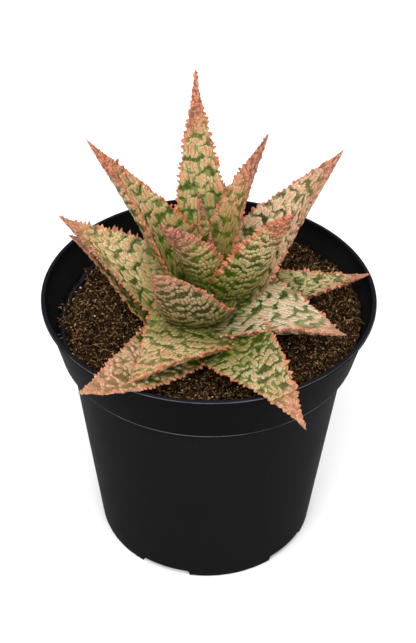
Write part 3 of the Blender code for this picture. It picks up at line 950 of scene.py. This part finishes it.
def close_blade():
    """The active blade's seam is merged, and its open root end gets a face."""
    bpy.ops.object.mode_set(mode="EDIT")
    bpy.ops.mesh.select_all(action="SELECT")
    bpy.ops.mesh.remove_doubles(threshold=0.004 * MM)
    bpy.ops.mesh.select_all(action="DESELECT")
    bpy.ops.mesh.select_mode(type="EDGE")
    bpy.ops.mesh.select_non_manifold(extend=False)
    bpy.ops.mesh.edge_face_add()
    bpy.ops.mesh.select_all(action="SELECT")
    bpy.ops.mesh.normals_make_consistent(inside=False)
    bpy.ops.object.mode_set(mode="OBJECT")
    bpy.ops.object.shade_smooth()


def add_leaf(name, leaf, seed, finish):
    """A grid is wrapped round the leaf's form, with its ridges, warts and teeth, and then closed."""
    points, u, v, t, from_margin, push, top = leaf_points(leaf, seed)
    stray = np.where(top, 1, 0.4)
    u, v = (
        u + 0.5 * stray * rough_noise(u, v, 5, seed),
        v + 1.3 * stray * rough_noise(u, v, 4, 50 + seed),
    )
    random = np.random.default_rng(500 + seed)
    spots_of = {is_top: Spots(leaf, random, is_top) for is_top in (True, False)}
    points = raised(points, u, v, t, from_margin, top, leaf, spots_of)
    made, i, j = wrapped_grid(name + "_blade", points, finish)
    store_spots(made.data, i, j, u, v, top, spots_of)
    place = np.stack([from_margin[i, j], np.clip(t[i], 0, 1), push[i, j]], -1)
    store(made.data, "place", "POINT", place)
    close_blade()
    return made


# Soil


def tree_of(*objects):
    points, faces = [], []
    for made in objects:
        start = len(points)
        points += [v.co.copy() for v in made.data.vertices]
        faces += [[start + k for k in face.vertices] for face in made.data.polygons]
    return BVHTree.FromPolygons(points, faces)


SOIL_TREE = tree_of(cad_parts["soil"])
LEAVES_TREE = tree_of(*[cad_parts[name] for name in LEAVES])


def ground_heights(x, y):
    """The height of the CAD soil's top at each place, in mm."""
    heights = []
    for a, b in zip(x, y):
        hit = SOIL_TREE.ray_cast(Vector((a * MM, b * MM, 0.2)), Vector((0, 0, -1)))[0]
        heights.append(SPARE_HEIGHT if hit is None else hit.z / MM)
    return heights


def rough_noise(x, y, size, seed):
    """Smooth random lumps about this many mm across, mostly between -1 and 1."""
    random = np.random.default_rng(seed)
    total = np.zeros(np.shape(x))
    for _ in range(14):
        angle, phase = random.uniform(0, math.tau, 2)
        step = random.uniform(0.7, 1.5) * math.pi / size
        total = total + np.sin((x * math.cos(angle) + y * math.sin(angle)) * step + phase)
    return total / 5


def peat_lumps(x, y):
    """How far the loose peat stands above or below the CAD soil's top at each place, in mm."""
    return 1.3 * rough_noise(x, y, 8, 1) + 1.1 * rough_noise(x, y, 2.8, 2)


def ring_points(radius, height, angles):
    """A ring of points in mm round the pot's axis."""
    heights = np.broadcast_to(height, angles.shape)
    return np.stack([radius * np.cos(angles), radius * np.sin(angles), heights], -1)


def add_soil(finish):
    """The peat's body: its top is uneven, and its sides follow the pot."""
    angles = np.arange(SOIL_SIDES) * math.tau / SOIL_SIDES
    foot = POT_FLOOR + 0.4
    ledge = POT_HEIGHT - COLLAR_HEIGHT + POT_WALL + 0.4
    neck = pot_inner_radius(ledge - 4) - 0.6
    outline = (
        (pot_inner_radius(foot) - 2, foot),
        (pot_inner_radius(foot) - 0.6, foot + 2),
        (neck, ledge - 4),
        (neck, ledge),
        (pot_inner_radius(ledge + 1.5) - 1.5, ledge + 0.6),
    )
    rows = [ring_points(radius, height, angles) for radius, height in outline]
    wall_probe = PROBE_RADIUS - 0.5
    wall_heights = ground_heights(wall_probe * np.cos(angles), wall_probe * np.sin(angles))
    wall = np.array([pot_inner_radius(h - 1) - 0.35 for h in wall_heights])
    for step in np.linspace(0, 1, SOIL_RINGS):
        radius = wall + (4.5 - wall) * step
        x, y = radius * np.cos(angles), radius * np.sin(angles)
        probe = np.minimum(radius, PROBE_RADIUS)
        height = np.array(ground_heights(probe * np.cos(angles), probe * np.sin(angles)))
        height += peat_lumps(x, y) + 0.6 * rough_noise(x, y, 1.3, 3)
        rows.append(ring_points(radius, height, angles))
    points = np.concatenate(rows)
    faces = []
    for i in range(len(rows) - 1):
        for j in range(SOIL_SIDES):
            k = (j + 1) % SOIL_SIDES
            near, far = i * SOIL_SIDES, (i + 1) * SOIL_SIDES
            faces.append((near + j, near + k, far + k, far + j))
    last = (len(rows) - 1) * SOIL_SIDES
    faces.append(tuple(range(last, last + SOIL_SIDES)))
    faces.append(tuple(range(SOIL_SIDES))[::-1])
    made = mesh_object("peat_body", (points * MM).tolist(), faces, finish)
    select_only(made)
    bpy.ops.object.shade_smooth()
    return made


def kept_inside(points):
    """The points in mm, with those that reach too deep into the pot's wall drawn in."""
    points = np.array(points)
    limit = np.array([pot_inner_radius(z) for z in points[:, 2]]) + WALL_BITE
    share = np.minimum(1, limit / np.hypot(points[:, 0], points[:, 1]))
    return points * np.stack([share, share, np.ones(len(share))], -1)


def scatter(name, shape, places, sizes, flatness, finish, random):
    """Copies of a small closed shape, turned and scaled at random, as one mesh."""
    corners = np.array([v.co[:] for v in shape.data.vertices])
    shape_faces = np.array([f.vertices[:] for f in shape.data.polygons])
    points, faces = [], []
    for number, (place, size) in enumerate(zip(places, sizes)):
        angle = random.uniform(0, math.tau)
        axis = Vector(random.normal(size=3)).normalized()
        turn = np.array(Matrix.Rotation(angle, 3, axis))
        stretch = size * random.uniform(flatness, 1.0, 3)
        bent = corners * (1 + 0.25 * random.uniform(-1, 1, corners.shape))
        points.append((bent * stretch) @ turn.T + place)
        faces.append(shape_faces + number * len(corners))
    bpy.data.objects.remove(shape)
    points = kept_inside(np.concatenate(points))
    return mesh_object(name, (points * MM).tolist(), np.concatenate(faces).tolist(), finish)


def small_ball():
    clear_selection()
    bpy.ops.mesh.primitive_ico_sphere_add(subdivisions=1, radius=1)
    return bpy.context.object


def soil_places(count, random):
    """Random places on the soil that no leaf presses on."""
    found = []
    while len(found) < count:
        radius = SOIL_RADIUS * math.sqrt(random.uniform(0.004, 1))
        angle = random.uniform(0, math.tau)
        x, y = radius * math.cos(angle), radius * math.sin(angle)
        probe = min(radius, PROBE_RADIUS)
        z = ground_heights([probe * math.cos(angle)], [probe * math.sin(angle)])[0]
        if radius > pot_inner_radius(z) - 1:
            continue
        below = Vector((x * MM, y * MM, (z - 1) * MM))
        above = LEAVES_TREE.ray_cast(below, Vector((0, 0, 1)))[3]
        if above is not None and above < (LEAF_CLEARANCE + 1) * MM:
            continue
        found.append((x, y, z + float(peat_lumps(x, y))))
    return np.array(found)


def add_fibres(places, random, finish):
    """Thin bent strands that lie on the peat, each a three-sided tube."""
    up = np.array([0, 0, 1])
    points, faces = [], []
    for place in places:
        length = random.uniform(*FIBRE_LENGTHS)
        heading = random.uniform(0, math.tau)
        curl = random.normal(0, 0.4)
        lean = random.uniform(-0.1, 0.55)
        start = len(points)
        here = np.array(place) + (0, 0, 0.2)
        for k in range(FIBRE_STEPS + 1):
            climb = lean * math.cos(math.pi * k / FIBRE_STEPS)
            here = here + np.array([math.cos(heading), math.sin(heading), climb]) * length / FIBRE_STEPS
            radius = FIBRE_THICKNESS * math.sin(math.pi * (0.12 + 0.76 * k / FIBRE_STEPS))
            across = np.array([-math.sin(heading), math.cos(heading), 0])
            for a in (0, math.tau / 3, 2 * math.tau / 3):
                points.append(here + radius * (across * math.cos(a) + up * math.sin(a)))
            heading += curl
        for k in range(FIBRE_STEPS):
            for a in range(3):
                b = (a + 1) % 3
                ring = start + 3 * k
                faces.append((ring + a, ring + b, ring + 3 + b, ring + 3 + a))
        faces.append((start + 2, start + 1, start))
        end = start + 3 * FIBRE_STEPS
        faces.append((end, end + 1, end + 2))
    return mesh_object("peat_fibres", (kept_inside(points) * MM).tolist(), faces, finish)


def add_wall_strip(finish):
    """A fold of dark film lies on the peat at the left, a little inside the wall."""
    clear_selection()
    bpy.ops.mesh.primitive_grid_add(x_subdivisions=90, y_subdivisions=4, size=1)
    strip = named("wall_strip", finish)
    for point in strip.data.vertices:
        turn = np.interp(point.co.x + 0.5, (0, 1), (STRIP_TURNS[0], STRIP_TURNS[-1]))
        ends = min(1, (1 - 2 * abs(point.co.x)) * 9)
        share = (point.co.y + 0.5) * (0.3 + 0.7 * ends)
        ruffle = math.sin(turn * 0.43) + 0.6 * math.sin(turn * 0.9 + 1)
        radius = np.interp(turn, STRIP_TURNS, STRIP_RADII) + 0.15 * ruffle + STRIP_WIDTH * share
        angle = math.radians(turn)
        x, y = radius * math.cos(angle), radius * math.sin(angle)
        inside = min(1, PROBE_RADIUS / radius)
        ground = ground_heights([x * inside], [y * inside])[0]
        bow = math.sin(math.pi * min(1, share * 0.8 + 0.1))
        lift = STRIP_HEIGHT * bow * (1 + 0.15 * ruffle) * ends
        point.co = Vector((x, y, ground + 0.5 + lift)) * MM
    wall = strip.modifiers.new("thickness", "SOLIDIFY")
    wall.thickness = STRIP_THICKNESS * MM
    wall.offset = 0
    select_only(strip)
    bpy.ops.object.modifier_apply(modifier=wall.name)
    bpy.ops.object.shade_smooth()
    return strip


# Studio


def add_camera():
    data = bpy.data.cameras.new("camera")
    data.sensor_width = SENSOR
    data.lens = FOCAL_PIXELS / IMAGE_HEIGHT * SENSOR
    camera = bpy.data.objects.new("camera", data)
    turn = Matrix((CAMERA_RIGHT, CAMERA_UP, -CAMERA_FORWARD)).transposed()
    camera.matrix_world = Matrix.Translation(CAMERA_PLACE) @ turn.to_4x4()
    bpy.context.scene.collection.objects.link(camera)
    bpy.context.scene.camera = camera


def add_light(name, place, size, power):
    data = bpy.data.lights.new(name, "AREA")
    data.shape = "DISK"
    data.size = size
    data.energy = power
    light = bpy.data.objects.new(name, data)
    light.location = place
    light.rotation_mode = "QUATERNION"
    light.rotation_quaternion = (Vector(LIGHT_AIM) - Vector(place)).to_track_quat("-Z", "Y")
    bpy.context.scene.collection.objects.link(light)


def add_studio():
    world = bpy.data.worlds.new("studio")
    world.use_nodes = True
    sky = world.node_tree.nodes["Background"]
    sky.inputs["Color"].default_value = (1, 1, 1, 1)
    sky.inputs["Strength"].default_value = 0.44
    bpy.context.scene.world = world
    bpy.context.scene.view_settings.view_transform = "Standard"
    add_light("key", (-0.22, -0.85, 1.3), 1.3, 25)
    add_light("fill", (0.5, -1.0, 0.8), 0.9, 6)
    add_light("back", (0.1, 0.7, 1.3), 1.2, 8)
    clear_selection()
    bpy.ops.mesh.primitive_plane_add(size=8, location=(0, 0, 0))
    floor = named("floor", floor_finish())


# Assembly

add_camera()
clear_selection()

leaf_finishes = {kind: leaf_finish(kind, look) for kind, look in SKINS.items()}

pot = add_pot(pot_finish())
declare(pot, "pot_plastic", "pot")

for seed, (name, leaf) in enumerate(LEAVES.items()):
    piece = add_leaf(name, leaf, seed, leaf_finishes[leaf.skin])
    declare(piece, "young_leaf" if leaf.skin in ("young", "rusty") else "leaf", name)

peat = soil_finish("peat", srgb(4, 2, 1), srgb(46, 30, 16), srgb(118, 88, 52))
declare(add_soil(peat), "peat", "soil")

random = np.random.default_rng(11)
crumb_shape = small_ball()
crumb_places = soil_places(CRUMB_COUNT, random)
crumb_sizes = random.uniform(0.4, 1.0, CRUMB_COUNT) ** 2.2 * CRUMB_SIZE
crumb_finish = soil_finish("peat crumbs", srgb(9, 5, 2), srgb(64, 43, 24), srgb(180, 142, 94))
crumbs = scatter("peat_crumbs", crumb_shape, crumb_places, crumb_sizes, 0.3, crumb_finish, random)
declare(crumbs, "peat", "soil")

fibre_places = soil_places(FIBRE_COUNT, random)
fibre_finish = grain_finish("dry fibre", srgb(58, 38, 20), srgb(166, 128, 80))
fibres = add_fibres(fibre_places, random, fibre_finish)
declare(fibres, "peat", "soil")

grain_places = soil_places(GRAIN_COUNT, random) + (0, 0, 0.4)
in_front = grain_places[:, 1] < GRAIN_FRONT
grain_places = grain_places[in_front | (random.uniform(0, 1, GRAIN_COUNT) < GRAIN_SHARE)]
grain_shape = small_ball()
grain_sizes = random.uniform(0.5, 1.0, len(grain_places)) ** 2 * GRAIN_SIZE
pale_finish = grain_finish("pale grains", srgb(150, 122, 84), srgb(204, 186, 150))
grains = scatter("pale_grains", grain_shape, grain_places, grain_sizes, 0.5, pale_finish, random)
declare(grains, "peat", "soil")

declare(add_wall_strip(film_finish()), "pot_plastic", "pot")

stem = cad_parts["stem"]
stem.data.materials.clear()
stem.data.materials.append(grain_finish("stem", srgb(120, 112, 62), srgb(168, 166, 96)))

add_studio()
